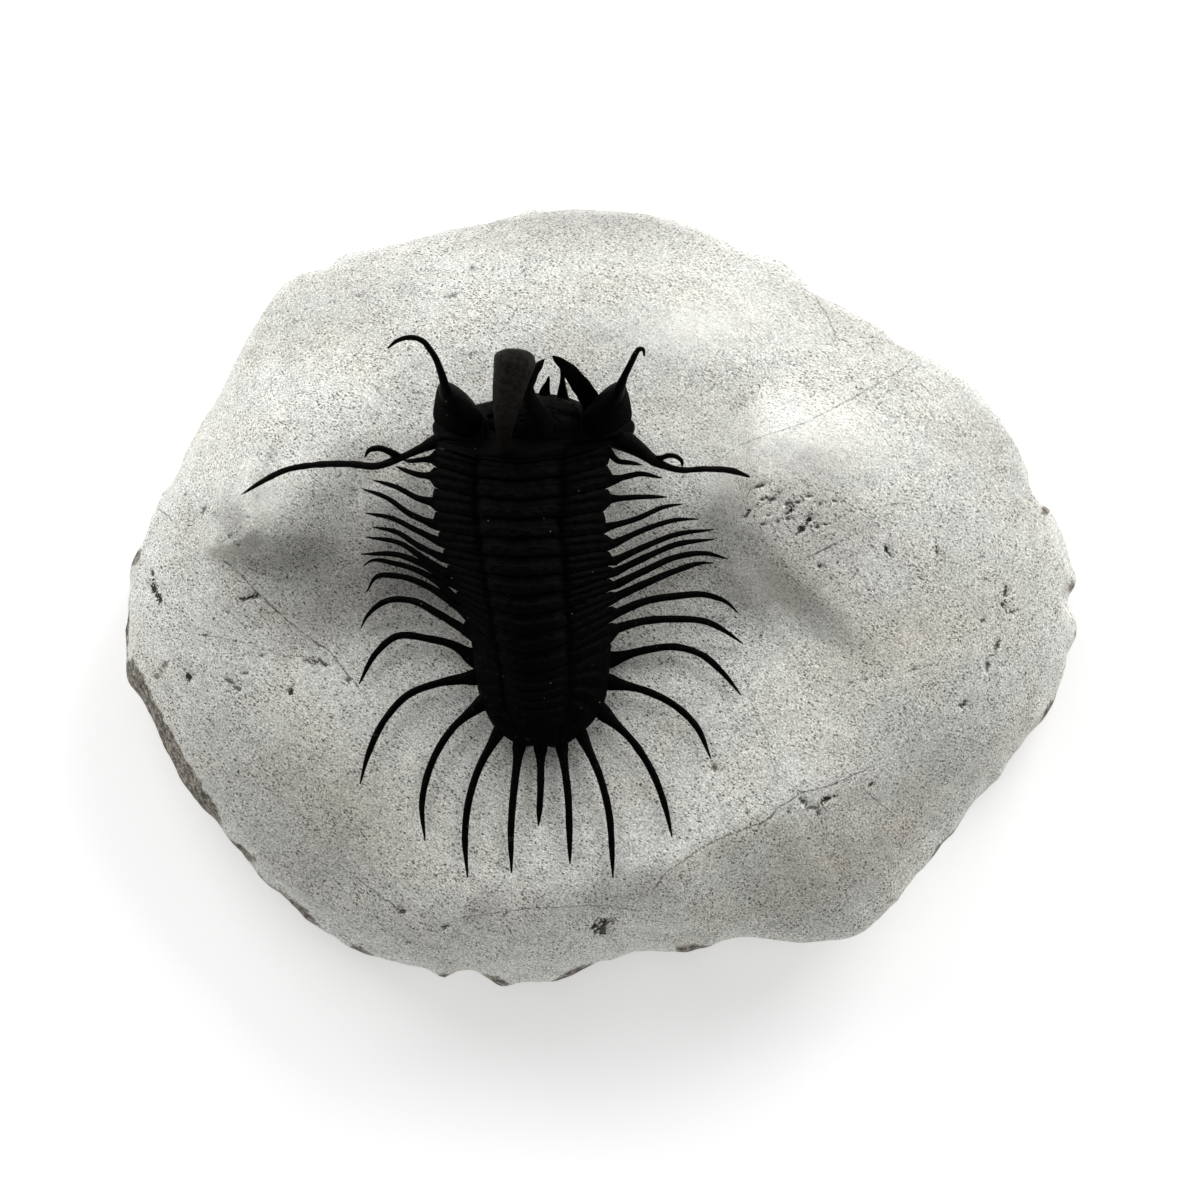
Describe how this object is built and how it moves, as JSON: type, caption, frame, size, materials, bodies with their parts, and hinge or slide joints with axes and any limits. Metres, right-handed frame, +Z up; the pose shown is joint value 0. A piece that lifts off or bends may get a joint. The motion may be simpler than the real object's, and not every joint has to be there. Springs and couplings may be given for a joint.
{
  "type": "trilobite fossil on its stone matrix",
  "caption": "Prepared spiny trilobite fossil with trident, horns and long side and tail spines, standing free on its piece of pale limestone that lies on a flat face.",
  "frame": {"origin": "middle of the flat base of the stone, on the surface it lies on", "axes": "+Z up, +Y the way the trilobite's head points, +X to the trilobite's right-hand side"},
  "size_m": [0.1291, 0.105, 0.0532],
  "materials": {
    "limestone": "matt, finely speckled and pitted pale grey limestone with a brown weathered rind on the left flank",
    "fossil_shell": "black calcite shell with a soft gloss, brownish on the raised parts"
  },
  "bodies": {
    "root": {"stone_matrix": "limestone", "cephalon": "fossil_shell", "thorax_segment_01": "fossil_shell", "thorax_segment_02": "fossil_shell", "thorax_segment_03": "fossil_shell", "thorax_segment_04": "fossil_shell", "thorax_segment_05": "fossil_shell", "thorax_segment_06": "fossil_shell", "thorax_segment_07": "fossil_shell", "thorax_segment_08": "fossil_shell", "thorax_segment_09": "fossil_shell", "thorax_segment_10": "fossil_shell", "thorax_segment_11": "fossil_shell", "pygidium": "fossil_shell"}
  },
  "joints": []
}
